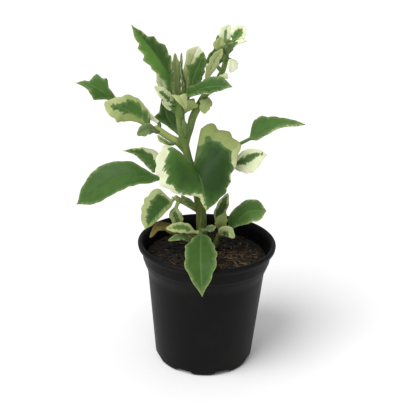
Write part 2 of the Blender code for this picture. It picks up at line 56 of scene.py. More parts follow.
# Pot
POT_HEIGHT = 100.0
RIM_RADIUS = 54.0
BASE_RADIUS = 39.1
WALL = 1.3
LIP_DEPTH = 4.6
COLLAR_RADIUS = 50.2
COLLAR_FOOT = 86.0
SHOULDER_RADIUS = 49.3
SHOULDER_FOOT = 75.0
BODY_TOP_RADIUS = 45.9
POT_STEPS = 144
NOTCH_COUNT = 8
NOTCH_WIDTH = 16.0
NOTCH_HEIGHT = 4.2
NOTCH_REACH = 14.0

# Soil
SOIL_HEIGHT = 88.0
SOIL_FOOT = 1.6
SOIL_RINGS = 56
SOIL_STEPS = 160
CRUMB_COUNT = 520
FIBRE_COUNT = 230

# Leaves
NECK = 1.35
GAP = 0.3
FLESH = 0.85
TIP_HALF_WIDTH = 0.3
SPREAD_FADE = 2.2
ENDS_PULL = 0.9
WIDEST = 0.45
TAPER = 1.25
ROWS_PER_TOOTH = 8
COLUMNS = (0, 0.03, 0.07, 0.13, 0.2, 0.3, 0.4, 0.5, 0.6, 0.7, 0.8, 0.88, 0.94, 0.98, 1)

# Each stem is a list of points on its axis with the radius there. The first three stand in
# the soil, and the others spring from inside the main stem.
STEMS = {
    "main": [
        (-3, 0, 65, 4.2), (-3, 0, 90, 4.2), (-4.4, 0, 109, 4.1), (-5.5, 0, 125, 4),
        (-9, 0, 141, 3.6), (-13.5, 0, 158, 3.1), (-17.5, 0, 172, 3), (-21, 0, 188, 3.3),
        (-23.2, 0, 203, 3.3), (-23.8, 0, 213, 2.4),
    ],
    "side_shoot": [
        (5, 0, 66, 2.1), (5, 0, 90, 2.1), (7, 0, 98, 2), (9.5, 0, 105, 1.8), (12, 0, 112, 1.6),
    ],
    "front_shoot": [
        (-4, -10, 66, 1.9), (-4, -10, 90, 1.9), (-4.5, -10, 102, 1.8), (-5, -10, 114, 1.6),
    ],
    "right_branch": [
        (-18, 0, 174, 2.3), (-17, 0, 182, 2.5), (-15, 0, 189.5, 2.7), (-13.5, 0, 197, 2.9),
        (-10, 0, 205, 2.8), (-5.5, 1, 213, 2.5), (-0.5, 2, 220, 2.2), (4, 2, 226, 2.1),
        (7.5, 2, 233, 2), (9, 2, 240, 2), (9.5, 2, 247, 1.9), (10.5, 1, 254.5, 1.4),
    ],
    "left_branch": [
        (-18, 0, 171.5, 2.4), (-24, -1, 178.5, 2.7), (-29.5, -1.5, 182, 2.7),
        (-35.5, -2, 186, 2.5), (-41, -2, 190, 2),
    ],
    "low_branch": [
        (-6, 0, 123, 2), (-10, -1, 126, 2.1), (-17, -3, 131, 2), (-23, -5, 135, 1.9),
        (-25.5, -5.5, 137, 1.9),
    ],
}
BRANCHES = ("right_branch", "left_branch", "low_branch")
ROOTED = ("main", "side_shoot", "front_shoot")


def leaf(stem, at, via, tip, face, half, kind="leaf_variegated", **more):
    """One leaf's design. It leaves its stem at a height, passes via and ends at its tip.

    face is the way the upper side looks. half is half the greatest width at either side of
    the midrib, or a list of half widths at even steps from the blade's base to its tip.
    The first of each pair belongs to the side on the left when the upper side is looked at
    with the tip up. Angles are in degrees: fold lifts a side, curl bends it further out, and
    spread turns its first rows towards back, fading along the blade.
    """
    design = dict(
        stem=stem, at=at, via=via, tip=tip, face=face, half=half, kind=kind,
        petiole=4.0, spread=(0, 0), fold=(14, 14), back=(0, 0, 1), curl=(0, 0), teeth=4,
        depth=0.09, columns=4,
    )
    design.update(more)
    return design


LEAVES = {
    "leaf_crown_tall": leaf(
        "main", 205, (-33.5, -3.5, 232.5), (-58, 2, 262.5), (0.35, -1, 0.2),
        ((1, 1.5, 3, 7.5, 9.5, 11, 11, 8.5, 6, 3.5, 0), (1, 2.5, 4, 5, 7.2, 9.2, 9, 7, 4, 2.2, 0)),
        "leaf_green", petiole=8, teeth=7, fold=(28, 24), columns=6, depth=0.11),
    "leaf_crown_cream_left": leaf(
        "main", 209.5, (-26.5, 6, 229.5), (-27.5, 9, 242.5), (0.5, -0.85, 0.5), (4, 4),
        "leaf_cream", teeth=4, depth=0.14),
    "leaf_crown_edge": leaf(
        "main", 213, (-22.8, 1, 232), (-22.5, 2, 244), (1, -0.15, 0), (3, 3), "leaf_green"),
    "leaf_crown_cream_back": leaf(
        "main", 201, (-37, 7, 223), (-40.5, 10, 229), (0.3, -1, 0.2), (5, 5), "leaf_cream"),
    "leaf_crown_cream_broad": leaf(
        "main", 206, (-18, 14, 228), (-11, 17, 246.5), (0, -1, 0.3),
        ((1, 1.5, 2.5, 3.8, 3.8, 4.2, 4, 5.2, 6, 6.2, 0.5),
         (1, 1.5, 2, 3, 5.5, 7.8, 8.8, 9.8, 10, 8.5, 0.5)),
        "leaf_cream", columns=6, teeth=5, depth=0.12),
    "leaf_crown_upright": leaf(
        "main", 209.3, (-13.5, 2, 228), (-7, 2, 245), (0.1, -1, 0),
        ((1, 1, 2, 3, 4.5, 5.8, 8, 3.8, 3.5, 2.5, 0.5),
         (1, 2, 4, 5.8, 6.5, 6.8, 6.2, 5.8, 5.2, 3.8, 0.5)),
        "leaf_green", petiole=6, teeth=5, depth=0.07, columns=6),
    "leaf_crown_right": leaf(
        "main", 213, (-3.5, -13, 223), (14, -20, 226), (0, -0.8, 0.6),
        ((2, 6, 6, 5.8, 5.5, 6, 7.2, 7.8, 6.5, 4.2, 0),
         (1, 1.5, 2, 3, 4, 5.8, 6, 5.2, 3.5, 1.5, 0)),
        "leaf_green", petiole=3, teeth=5, columns=6, depth=0.06),
    "leaf_crown_small_left": leaf(
        "main", 208, (-34.5, -11.5, 217.5), (-40.5, -14, 223), (0, -0.7, 0.7), (5.5, 4.5), teeth=3),
    "leaf_crown_front": leaf(
        "main", 209.8, (-22.8, -13, 216), (-18, -15.5, 208), (0, -0.2, 1), (5.5, 5.5),
        "leaf_cream", teeth=3),
    "leaf_crown_ruffle": leaf(
        "main", 201.5, (-16, -4, 208), (-9.5, -5, 207.5), (0, -1, 0.5), (4.5, 4.5), "leaf_cream",
        petiole=2, teeth=3, depth=0.2),
    "leaf_fork_back": leaf(
        "main", 184, (-32.5, 14, 192.5), (-36.5, 18, 206), (0, -1, 0.4),
        ((1, 1.5, 2.5, 3.5, 5, 7.5, 9.5, 5, 3.5, 2.5, 1.5),
         (1, 3.5, 6.2, 8.2, 9, 9.5, 9.5, 9.5, 8, 5, 1.5)),
        "leaf_green", teeth=5, depth=0.04),
    "leaf_fork_small": leaf(
        "main", 184, (-18.5, -7.5, 192), (-20, -7.5, 198), (0, 1, 0.3), (2.4, 2.4),
        "leaf_green", petiole=2, teeth=2),
    "leaf_right_hanging": leaf(
        "right_branch", 212, (-2.5, -5, 213), (-5, -7, 202.5), (0.1, -0.4, 1),
        ((2, 3, 3.5, 3.8, 4, 3.5, 3.2, 2.5, 2, 1.5, 0),
         (3, 5.2, 5.5, 5.5, 5.2, 5, 4.8, 4.5, 4.2, 3, 0)),
        "leaf_cream", teeth=3),
    "leaf_right_striped": leaf(
        "right_branch", 220, (-1, -3, 236.5), (6.5, -5, 249), (0, 1, 0.3),
        ((1, 1, 1.8, 3, 3.8, 4.2, 4.8, 3.4, 3.2, 2.5, 0.5),
         (1, 2, 2.5, 3, 4.2, 2.8, 3.8, 4, 3.8, 2.5, 0.5)),
        "leaf_cream", teeth=5, fold=(-20, -20), depth=0.05),
    "leaf_right_back": leaf(
        "right_branch", 232, (1.5, 9, 240), (3, 12, 256), (0, -1, 0),
        ((2, 6, 6.5, 6, 4, 2, 1, 0.8, 1, 1, 0), (3, 8, 9.2, 9.2, 9, 8.5, 7.5, 6, 4.5, 2.5, 0)),
        "leaf_green", teeth=5, depth=0.08),
    "leaf_right_behind": leaf(
        "right_branch", 212, (0, 16, 219), (4, 28, 222), (0, -0.3, 1), (7, 7)),
    "leaf_right_droop": leaf(
        "right_branch", 241, (12.5, -3, 241), (13, -5, 232.5), (0.5, -1, 0.2), (5.5, 3),
        "leaf_cream", petiole=3, teeth=3),
    "leaf_right_front": leaf(
        "right_branch", 229, (8, -6, 230.5), (11, -8, 229), (0, -0.5, 1), (3.2, 3.2),
        "leaf_cream", petiole=3, teeth=3),
    "leaf_top_up": leaf(
        "right_branch", 250, (8.5, 7.5, 258), (11, 8, 264), (0, -1, 0.5), (5, 5), "leaf_cream",
        petiole=3, teeth=3),
    "leaf_top_right": leaf(
        "right_branch", 253, (17, 1, 258.5), (21.5, 0, 264.5), (-0.3, -1, 0.3), (6, 6), petiole=3,
        teeth=4),
    "leaf_top_low": leaf(
        "right_branch", 249.5, (17, -4.5, 253.5), (23, -7, 255.5), (0, -0.5, 1), (3, 3),
        "leaf_cream", petiole=3, teeth=3),
    "leaf_top_front": leaf(
        "right_branch", 245, (12, -10, 252), (16.5, -13, 255.5), (0.2, 0.5, 1), (3, 3),
        "leaf_green", petiole=2.5, teeth=3),
    "leaf_top_left": leaf(
        "right_branch", 247, (4.5, -1.5, 250), (5.3, -1.5, 256.5), (0, -1, 0.3), (4.5, 4.3),
        "leaf_cream", petiole=2, teeth=2),
    "leaf_left_variegated": leaf(
        "left_branch", 190, (-60.5, -5, 202.5), (-77, -6, 208), (0.1, -1, 0.5),
        ((1, 1, 2, 5, 8.5, 10, 11.5, 10.2, 8.5, 6.5, 1.5),
         (3, 7, 8.8, 9.5, 10.8, 11.5, 10.2, 7.8, 5.5, 3.5, 1)),
        petiole=7, columns=6, teeth=5, depth=0.04),
    "leaf_left_long": leaf(
        "left_branch", 187, (-83.5, 4, 216), (-99, 6, 219), (0, -1, 0.6),
        ((1, 2, 3.5, 6.5, 9, 8, 6, 3.8, 2, 1, 0), (1, 3, 4, 5.5, 9.5, 8.5, 9, 3.5, 2.8, 1.8, 0)),
        "leaf_green", petiole=40, teeth=5, columns=6, depth=0.05),
    "leaf_left_ribbon": leaf(
        "left_branch", 188.5, (-46, 1, 198.5), (-54.5, 2, 210.5), (0, -1, 0), (2.4, 2.4),
        "leaf_cream"),
    "leaf_left_hanging": leaf(
        "left_branch", 188, (-45, -10, 190.5), (-53, -12, 186.5), (0, -1, 0.6), (4.5, 4.5), teeth=3),
    "leaf_left_under": leaf(
        "left_branch", 180, (-35, -8, 181.5), (-38.5, -7.5, 185.5), (0, -0.6, 1), (2.4, 2.4),
        "leaf_cream", teeth=3),
    "leaf_heart": leaf(
        "main", 161, (-6, -20, 156), (-1, -27, 135), (0.1, -0.5, 0.9),
        ((22, 31, 32, 34, 34, 26, 21.5, 18, 12.5, 6, 0),
         (5, 33, 38, 39, 36, 32.5, 23, 5, 3, 1.5, 0)),
        petiole=5, spread=(96, 56), back=(0.04, 0.25, 0.93), fold=(22, 8), curl=(-30, -15),
        teeth=8, columns=8, depth=0.035),
    "leaf_upper_right": leaf(
        "main", 161, (48, 8, 189.5), (70, 6, 193.5), (0, -0.6, 0.9),
        ((1, 8, 12, 13, 11.2, 9, 7.2, 5.8, 4.2, 2.6, 0), (3, 4.2, 3.4, 3, 2.5, 1.8, 1.4, 1.2, 1.2, 1, 0)),
        "leaf_green", petiole=46, curl=(0, -60), teeth=6, columns=6, depth=0.03),
    "leaf_mid_right": leaf(
        "main", 155, (25, 1, 166), (42, -4, 172), (0, -1, 0.5),
        ((1, 1.5, 2.5, 4.5, 6, 7.2, 7, 6.8, 5.5, 4.2, 0.5),
         (1, 4, 7.5, 9.5, 11, 11.8, 11.2, 10, 6.8, 3.2, 0.5)),
        petiole=24, teeth=5, depth=0.04),
    "leaf_large_left": leaf(
        "main", 150, (-62, -6, 153), (-99, -10, 130), (0, -0.6, 1),
        ((2, 8, 11.5, 14, 15.5, 15.5, 15.2, 13.8, 11.5, 6, 0),
         (1, 3, 6.5, 11, 13, 14.8, 15.2, 14.2, 11, 6.8, 0)),
        "leaf_green", petiole=22, teeth=7, columns=6, depth=0.025),
    "leaf_upper_left": leaf(
        "main", 156, (-48.5, 9, 164), (-66, 12, 166.5), (0, -1, 0.4),
        ((1, 5, 9.5, 9, 7.5, 6, 4.2, 2.2, 1, 0.6, 0),
         (1, 2, 3, 5.8, 6.5, 6.2, 5.5, 4.5, 3.2, 1.8, 0)),
        petiole=16, teeth=5, depth=0.03),
    "leaf_low_left": leaf(
        "low_branch", 137, (-33.5, -13, 130.5), (-47, -15, 113.5), (0, -1, 0.4),
        ((2, 3, 3.5, 3.5, 3.5, 3.5, 3, 2.8, 2.2, 1.2, 0),
         (6, 13, 15.2, 15.2, 15, 13.8, 12.5, 10.5, 8.2, 5.5, 0)),
        teeth=5, petiole=2, columns=6, depth=0.03),
    "leaf_low_narrow": leaf(
        "low_branch", 134.3, (-24.6, -9.5, 125.5), (-20.2, -10, 115), (0, -1, 0.2), (5, 5), teeth=3),
    "leaf_axil": leaf(
        "main", 131, (-14, -8, 134), (-20.5, -9, 139.5), (0, -1, 0), (2.6, 2.6), "leaf_green",
        petiole=2, teeth=2),
    "leaf_back": leaf(
        "main", 149, (-5, 28, 151), (2, 46, 138), (0, 0.5, 1), (14, 14), "leaf_green",
        petiole=8, teeth=6, columns=6),
    "leaf_crown_rear": leaf(
        "main", 200, (-24, 17, 207), (-27, 30, 211), (0, -0.6, 1), (8, 8)),
    "leaf_over_rim": leaf(
        "front_shoot", 110.5, (-4, -52, 104), (-2, -63, 84), (0, -0.5, 0.9),
        ((1.5, 5.5, 7.8, 9.5, 11.2, 11.8, 12, 10.5, 7.5, 3.5, 0),
         (1.5, 4.5, 6.8, 9.5, 12, 11, 11.8, 10.8, 7.5, 3.8, 0)),
        "leaf_green", petiole=2, teeth=6, columns=6, depth=0.05),
    "leaf_front_left": leaf(
        "front_shoot", 110.5, (-17.5, -14, 115), (-31, -18, 116), (0, -0.8, 0.7), (4.5, 4.5),
        teeth=4),
    "leaf_front_low": leaf(
        "front_shoot", 103, (-19, -17, 109.5), (-29, -22, 108), (0, -0.8, 0.7), (3.5, 3), teeth=3),
    "leaf_front_small": leaf(
        "front_shoot", 112.4, (0.5, -14, 115), (6.5, -16, 118), (0, -1, 0.4), (2.8, 2.8), teeth=3),
    "leaf_dry": leaf(
        "main", 103, (-36, -9, 114.5), (-43.5, -12, 105.5), (0, -0.6, 1), (4.5, 4.5), "leaf_dry",
        petiole=10, curl=(-60, -60), teeth=3, depth=0.15),
    "leaf_shoot_up": leaf(
        "side_shoot", 110, (10.5, -6, 118.5), (13.5, -6, 125.5), (0, -1, 0), (4.6, 4.6),
        "leaf_cream", petiole=2, teeth=3),
    "leaf_shoot_back": leaf(
        "side_shoot", 108, (9, 5, 119.5), (15, 8, 136), (0, -1, 0), (4.8, 4.8), "leaf_green",
        teeth=3),
    "leaf_shoot_right": leaf(
        "side_shoot", 109, (30, -2, 125), (44.5, -4, 127.5), (0, -0.8, 0.6),
        ((1, 5, 7, 8.2, 8, 8, 8.8, 9, 7.8, 5.2, 0), (1, 1.5, 3, 6, 8.2, 9.2, 9.8, 9.8, 9, 7, 0)),
        teeth=5, petiole=6, columns=6, depth=0.03),
    "leaf_shoot_low": leaf(
        "side_shoot", 104, (14.5, -9.5, 112), (21, -12, 107.5), (0, -1, 0.1), (5, 4.5), teeth=3),
}


# Finish of each leaf. cream holds the width of the pale margin along either edge, from the
# base of the blade to its tip. pale is the margin's colour there, from olive at 0 to white at
# 1, and tone how bright the green is, from 0 to 1, with painted light and shade: one
# side of a leaf, or a stretch along it, is made lighter or darker for how light falls there.
# deep is painted shade that darkens the middle, jag is how far the green reaches into
# the margin, stalk turns the petiole from cream to green, and spots lists dried places as
# (share of length, share across, radius).
def finish(cream=(0.5, 0.5), tone=(0.3, 0.3), pale=0.3, **more):
    look = dict(
        cream=cream, tone=tone, pale=pale if isinstance(pale, tuple) else (pale, pale),
        deep=0.0, jag=0.8, stalk=1.5, under=0.0, dry=0.0, sharp=0.5, vein=0.3, spots=(),
    )
    look.update(more)
    return look


ALL = 30.0
FINISHES = {
    "leaf_crown_tall": finish(
        ((1.8, 0.7, 0.3, 0.3, 0.3), 0.1), ((0.6, 0.85, 0.75), (0.3, 0.15, 0.2)), 0.15, sharp=1),
    "leaf_crown_cream_left": finish((ALL, ALL), pale=0.2, sharp=1),
    "leaf_crown_edge": finish((0, 0), (0.15, 0.15), sharp=1),
    "leaf_crown_cream_back": finish((0, 8), (0.1, 0.1), 0.7),
    "leaf_crown_cream_broad": finish((ALL, ALL), pale=((0.1, 0.3, 0.9), (0.1, 0.3, 0.9)), sharp=1),
    "leaf_crown_upright": finish((0.2, 0.2), (0.4, 0.35), 0.2, sharp=1),
    "leaf_crown_right": finish((0.15, 0.15), (0.3, 0.25), 0.2, sharp=1),
    "leaf_crown_small_left": finish((2.2, 3.2), (0.6, 0.6), 0.75, sharp=1),
    "leaf_crown_front": finish((ALL, ALL), pale=0.35),
    "leaf_crown_ruffle": finish((ALL, ALL), pale=0.05, sharp=1),
    "leaf_fork_back": finish((0.1, 0.1), (0.1, 0.15), 0.1),
    "leaf_fork_small": finish((0.3, 0.3), (0.3, 0.3), 0.1),
    "leaf_right_hanging": finish((ALL, ALL), pale=0.15),
    "leaf_right_striped": finish((3.3, 3.3), (0.3, 0.3), 0.35, jag=0.4, sharp=1),
    "leaf_right_back": finish((0.1, 0.1), (0.15, 0.2), 0.1, sharp=1),
    "leaf_right_behind": finish((1.5, 1.5)),
    "leaf_right_droop": finish((ALL, ALL), pale=0.95, sharp=1),
    "leaf_right_front": finish((ALL, ALL), pale=0.6, sharp=1),
    "leaf_top_up": finish((3.3, 3.3), (0.7, 0.7), 0.85, jag=0.4, sharp=1),
    "leaf_top_right": finish((2.4, 2.4), (0.7, 0.7), 0.9, jag=0.5),
    "leaf_top_low": finish((ALL, ALL), pale=0.85),
    "leaf_top_front": finish((0.2, 0.2), (0.25, 0.25), 0.1),
    "leaf_top_left": finish((ALL, ALL), pale=0.2),
    "leaf_left_variegated": finish(
        ((2, 3.5, 5, 6, 6, 5, 3), (1.5, 1, 1.5, 2.5, 4, 5, 3)), (0.3, 0.35),
        ((0, 0, 0, 0.1, 0.3, 0.45), (0, 0.1, 0.1, 0.2, 0.4, 0.45)), jag=1),
    "leaf_left_long": finish((0.2, 0.2), (0.35, 0.45), 0.1, sharp=1),
    "leaf_left_ribbon": finish((ALL, ALL), pale=0.9, sharp=1, spots=((0.62, 0.2, 0.9),)),
    "leaf_left_hanging": finish((0.6, 0.6), (0.2, 0.2), 0, under=1),
    "leaf_left_under": finish((1.4, 1.4), (0.5, 0.5), 0.2),
    "leaf_heart": finish(
        ((1, 4, 6, 8, 9, 9.5, 6, 1.5, 0.6, 0.5, 0.6), (0.6, 0.8, 1.5, 5, 7, 6, 5, 2.5, 1, 2.5, 1)),
        ((0.3, 0.15, 0.2, 0.35), (0.7, 0.5, 0.35, 0.45)),
        ((0, 0, 0, 0, 0.1, 0.6, 0.8, 0.5, 0.3), (0.4, 0.6, 0.9, 0.9, 0.8, 0.6, 0.5)),
        deep=0.35, jag=1),
    "leaf_upper_right": finish((0.2, 0.7), (0.5, 0.4), 0.3, spots=((1, 0, 3),)),
    "leaf_mid_right": finish(
        ((1, 2.5, 4, 3.5, 2, 1), (1, 3, 7, 8.5, 6.5, 2)), (0.4, 0.4), 0.8, jag=1),
    "leaf_large_left": finish((0.2, 0.5), (0.35, 0.3), 0, vein=0.08, stalk=0.6),
    "leaf_upper_left": finish(
        (0.4, (5, 5.5, 4, 1.6, 0.6, 0.4)), (0.35, 0.3), (0.2, (0.9, 0.8, 0.5, 0.3))),
    "leaf_low_left": finish(
        ((1.5, 2, 2, 1.5), (1, 3, 4.5, 4.5, 4, 2.5)), (0.25, 0.25), (0, 0.4), jag=1, stalk=-1),
    "leaf_low_narrow": finish((2.7, 2.7), (0.05, 0.05), 0.1, jag=0.6, stalk=-1),
    "leaf_axil": finish((0.2, 0.2), (0.35, 0.35), 0.1),
    "leaf_back": finish((2, 2.6), (0.3, 0.3)),
    "leaf_crown_rear": finish((1.5, 2)),
    "leaf_over_rim": finish((0.7, 0.7), (0.25, 0.3), 0, jag=0.5),
    "leaf_front_left": finish((2.2, 2.2), (0.5, 0.5), 0.35, stalk=-1),
    "leaf_front_low": finish((0.8, 0.8), (0.05, 0.05), 0, under=0.6),
    "leaf_front_small": finish((1.2, 1.2), (0.2, 0.2), 0, under=1),
    "leaf_dry": finish((0, 0), (0.2, 0.2), dry=1),
    "leaf_shoot_up": finish((ALL, ALL), pale=0.05),
    "leaf_shoot_back": finish((1.4, 1.6), (0.1, 0.1), 0.45),
    "leaf_shoot_right": finish((0.3, 0.7), (0.4, 0.55), 0.3, spots=((1, 0, 2),)),
    "leaf_shoot_low": finish((4.5, 0.5), (0.1, 0.1), 0.5),
}


class Value:
    """A number or colour that varies over a surface. Arithmetic on it adds Math nodes."""

    def __init__(self, finish, socket):
        self.finish = finish
        self.socket = socket

    def maths(self, operation, *values, clamp=False):
        settings = {"operation": operation, "use_clamp": clamp}
        return self.finish.node("ShaderNodeMath", settings, dict(enumerate(values)))

    def __add__(self, other):
        return self.maths("ADD", self, other)

    def __radd__(self, other):
        return self.maths("ADD", other, self)

    def __sub__(self, other):
        return self.maths("SUBTRACT", self, other)

    def __rsub__(self, other):
        return self.maths("SUBTRACT", other, self)

    def __mul__(self, other):
        return self.maths("MULTIPLY", self, other)

    def __rmul__(self, other):
        return self.maths("MULTIPLY", other, self)

    def __abs__(self):
        return self.maths("ABSOLUTE", self)

    def clamped(self):
        return self.maths("ADD", self, 0, clamp=True)


class Finish:
    """A material under construction, with its Principled shader."""

    def __init__(self, name, **constants):
        self.material = bpy.data.materials.new(name)
        self.material.use_nodes = True
        self.tree = self.material.node_tree
        self.shader = self.tree.nodes["Principled BSDF"]
        for socket, value in constants.items():
            self.shader.inputs[socket.replace("_", " ")].default_value = value

    def node(self, kind, settings=None, sockets=None, output=0):
        made = self.tree.nodes.new(kind)
        for key, value in (settings or {}).items():
            if key == "stops":
                ramp = made.color_ramp
                while len(ramp.elements) < len(value):
                    ramp.elements.new(0.5)
                for element, (place, colour) in zip(ramp.elements, value):
                    element.position = place
                    element.color = (*colour, 1)
            else:
                setattr(made, key, value)
        for key, value in (sockets or {}).items():
            if isinstance(value, Value):
                self.tree.links.new(value.socket, made.inputs[key])
            else:
                made.inputs[key].default_value = value
        return Value(self, made.outputs[output])

    def attribute(self, name, output="Fac"):
        return self.node("ShaderNodeAttribute", {"attribute_name": name}, output=output)

    def place(self):
        return self.node("ShaderNodeTexCoord", output="Object")

    def scaled(self, vector, scale):
        return self.node("ShaderNodeVectorMath", {"operation": "MULTIPLY"}, {0: vector, 1: scale})

    def noise(self, vector, scale, detail=3.0, roughness=0.5):
        return self.node(
            "ShaderNodeTexNoise", {"noise_dimensions": "3D"},
            {"Vector": vector, "Scale": scale, "Detail": detail, "Roughness": roughness},
        )

    def step(self, value, low, high):
        """0 below low, 1 above high and a smooth rise between."""
        return self.node(
            "ShaderNodeMapRange", {"interpolation_type": "SMOOTHSTEP"},
            {"Value": value, "From Min": low, "From Max": high},
        )

    def mix(self, share, first, second):
        """The first colour where share is 0, and the second where it is 1."""
        colours = {6: first, 7: second}
        for key, value in colours.items():
            if not isinstance(value, Value):
                colours[key] = (*value, 1)
        return self.node("ShaderNodeMix", {"data_type": "RGBA"}, {0: share, **colours}, output=2)

    def bump(self, height, distance, strength):
        sockets = {"Height": height, "Distance": distance, "Strength": strength}
        return self.node("ShaderNodeBump", None, sockets)

    def feed(self, **links):
        for socket, value in links.items():
            self.tree.links.new(value.socket, self.shader.inputs[socket.replace("_", " ")])
        return self.material


def leaf_flesh():
    """Fleshy leaf skin: green inside with painted light and shade, a ragged grey-green border and a cream
    margin.
    """
    skin = Finish("leaf_flesh", Specular_IOR_Level=0.15, Subsurface_Weight=0.06, Subsurface_Scale=0.003)
    grain = skin.attribute("grain", "Vector")
    inside = skin.attribute("inside")
    tone = skin.attribute("tone")
    pale = skin.attribute("pale")
    jag = skin.attribute("jag")
    under = skin.attribute("under")
    dry = skin.attribute("dry")
    rib = skin.attribute("rib")
    vein = skin.attribute("vein")
    fingers = skin.noise(skin.scaled(grain, (0.42, 0.10, 1)), 1.0, 2.5, 0.6)
    blots = skin.noise(grain, 0.16, 3.0, 0.55)
    flecks = skin.noise(grain, 1.1, 2.0, 0.6)
    reach = inside + (fingers - 0.5) * jag * 7 + (flecks - 0.5) * jag * 1.3
    border = skin.step(reach, -0.5, 0.35)
    core = skin.step(reach + (blots - 0.5) * 3, 0.6, 2.6)
    # Painted light and shade: the green is made lighter or darker per leaf side and along the blade for
    # how light falls there, and darker in the middle as painted shade.
    light = (tone + (blots - 0.5) * 0.4).clamped()
    green = skin.mix(light, (0.020, 0.052, 0.010), (0.105, 0.235, 0.040))
    edge_green = skin.mix(light, (0.06, 0.11, 0.035), (0.16, 0.28, 0.075))
    cream = skin.node(
        "ShaderNodeValToRGB",
        {"stops": ((0, (0.23, 0.29, 0.09)), (0.5, (0.45, 0.51, 0.23)), (1, (0.80, 0.83, 0.60)))},
        {0: pale + (blots - 0.5) * 0.35})
    inner = skin.mix(core, edge_green, green)
    inner = skin.mix(skin.step(abs(rib), 1.3, 0.1) * vein, inner, (0.19, 0.30, 0.09))
    colour = skin.mix(border, cream, inner)
    colour = skin.mix(under * 0.5, colour, (0.16, 0.20, 0.09))
    parched = skin.mix(blots, (0.10, 0.075, 0.02), (0.30, 0.24, 0.07))
    colour = skin.mix(dry, colour, parched)
    roughness = 0.42 + flecks * 0.16 + dry * 0.3
    pits = skin.noise(grain, 2.2, 2.0)
    relief = skin.bump(fingers * 0.6 + pits * 0.25, 0.0005, 0.35)
    return skin.feed(Base_Color=colour, Roughness=roughness, Normal=relief)


def stem_rind():
    """Juicy green stems, olive and scarred towards the soil, with fine lengthwise streaks."""
    rind = Finish("stem_rind", Specular_IOR_Level=0.15, Subsurface_Weight=0.05, Subsurface_Scale=0.003)
    place = rind.place()
    height = rind.node("ShaderNodeSeparateXYZ", None, {0: place}, output=2)
    left = rind.node("ShaderNodeSeparateXYZ", None, {0: place}) * -1
    streaks = rind.noise(rind.scaled(place, (1, 1, 0.12)), 900.0, 2.0)
    patches = rind.noise(place, 90.0, 3.0)
    freckles = rind.noise(place, 1400.0, 1.0)
    young = rind.step(height, 0.12, 0.19)
    old = rind.mix(patches, (0.06, 0.085, 0.012), (0.13, 0.165, 0.035))
    fresh = rind.mix(patches, (0.085, 0.15, 0.026), (0.17, 0.24, 0.07))
    colour = rind.mix(young, old, fresh)
    fork = rind.step(left, 0.022, 0.027) * rind.step(height, 0.2, 0.194)
    low_fork = rind.step(left, 0.009, 0.014) * rind.step(height, 0.143, 0.138)
    colour = rind.mix((fork + low_fork * 0.6).clamped(), colour, (0.30, 0.36, 0.12))
    colour = rind.mix(rind.step(streaks, 0.5, 0.75) * 0.35, colour, (0.30, 0.34, 0.13))
    colour = rind.mix(rind.step(freckles, 0.66, 0.8) * 0.35, colour, (0.09, 0.06, 0.02))
    relief = rind.bump(streaks * 0.6 + freckles * 0.4, 0.0004, 0.5)
    return rind.feed(Base_Color=colour, Roughness=0.45 + patches * 0.15, Normal=relief)


def potting_soil():
    """Damp dark compost."""
    soil = Finish("potting_soil", Specular_IOR_Level=0.2)
    place = soil.place()
    clods = soil.noise(place, 160.0, 4.0, 0.6)
    grit = soil.noise(place, 900.0, 2.0, 0.6)
    colour = soil.mix(clods, (0.004, 0.0035, 0.003), (0.030, 0.024, 0.018))
    colour = soil.mix(soil.step(grit, 0.62, 0.74) * 0.7, colour, (0.075, 0.05, 0.028))
    relief = soil.bump(clods * 0.5 + grit * 0.5, 0.0012, 0.9)
    return soil.feed(Base_Color=colour, Roughness=0.8 + grit * 0.2, Normal=relief)


def fibre_brown():
    """Dry bark and coir fibres in the compost."""
    fibre = Finish("fibre_brown", Specular_IOR_Level=0.2)
    place = fibre.place()
    shade = fibre.noise(place, 70.0, 2.0)
    colour = fibre.mix(fibre.step(shade, 0.35, 0.65), (0.05, 0.03, 0.015), (0.23, 0.15, 0.075))
    strands = fibre.noise(place, 1600.0, 2.0)
    return fibre.feed(
        Base_Color=colour, Roughness=0.75 + shade * 0.2, Normal=fibre.bump(strands, 0.0004, 0.6))


def pot_plastic():
    """Satin black moulded plastic with a faint dusting."""
    plastic = Finish("pot_plastic", Specular_IOR_Level=0.08)
    place = plastic.place()
    dust = plastic.noise(place, 24.0, 5.0, 0.65)
    grain = plastic.noise(place, 1500.0, 2.0)
    drawn = plastic.noise(plastic.scaled(place, (1, 1, 0.06)), 260.0, 2.0)
    colour = plastic.mix(plastic.step(dust, 0.45, 0.85), (0.004, 0.0045, 0.004), (0.010, 0.010, 0.009))
    roughness = 0.36 + dust * 0.16 + drawn * 0.06
    relief = plastic.bump(grain * 0.4 + drawn * 0.6, 0.0003, 0.25)
    return plastic.feed(Base_Color=colour, Roughness=roughness, Normal=relief)


def studio_white():
    """Plain pale floor."""
    paint = Finish("studio_white", Specular_IOR_Level=0.0)
    place = paint.place()
    cloud = paint.noise(place, 1.5, 2.0)
    colour = paint.mix(cloud, (0.90, 0.90, 0.90), (0.93, 0.93, 0.93))
    return paint.feed(Base_Color=colour, Roughness=0.85 + cloud * 0.1)


def piece(name, mesh, material, node=None, smooth=True):
    """Puts a finished mesh in the scene as a piece of the plant or pot."""
    made = bpy.data.objects.new(name, mesh)
    bpy.context.scene.collection.objects.link(made)
    mesh.materials.clear()
    mesh.materials.append(material)
    if smooth:
        mesh.shade_smooth()
    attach(made, "root")
    if node:
        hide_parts(node)
    return made


def chance(*numbers):
    """A repeatable number from 0 to 1 for any set of numbers."""
    wave = math.sin(sum(number * (12.9898 + 7.233 * i) for i, number in enumerate(numbers)))
    return (wave * 43758.5453) % 1.0


def along_table(values, share):
    """The value of an evenly spaced table at a share of its length, or the one number."""
    if not isinstance(values, tuple):
        return values
    place = share * (len(values) - 1)
    i = min(int(place), max(len(values) - 2, 0))
    follow = values[min(i + 1, len(values) - 1)]
    return values[i] + (follow - values[i]) * (place - i)


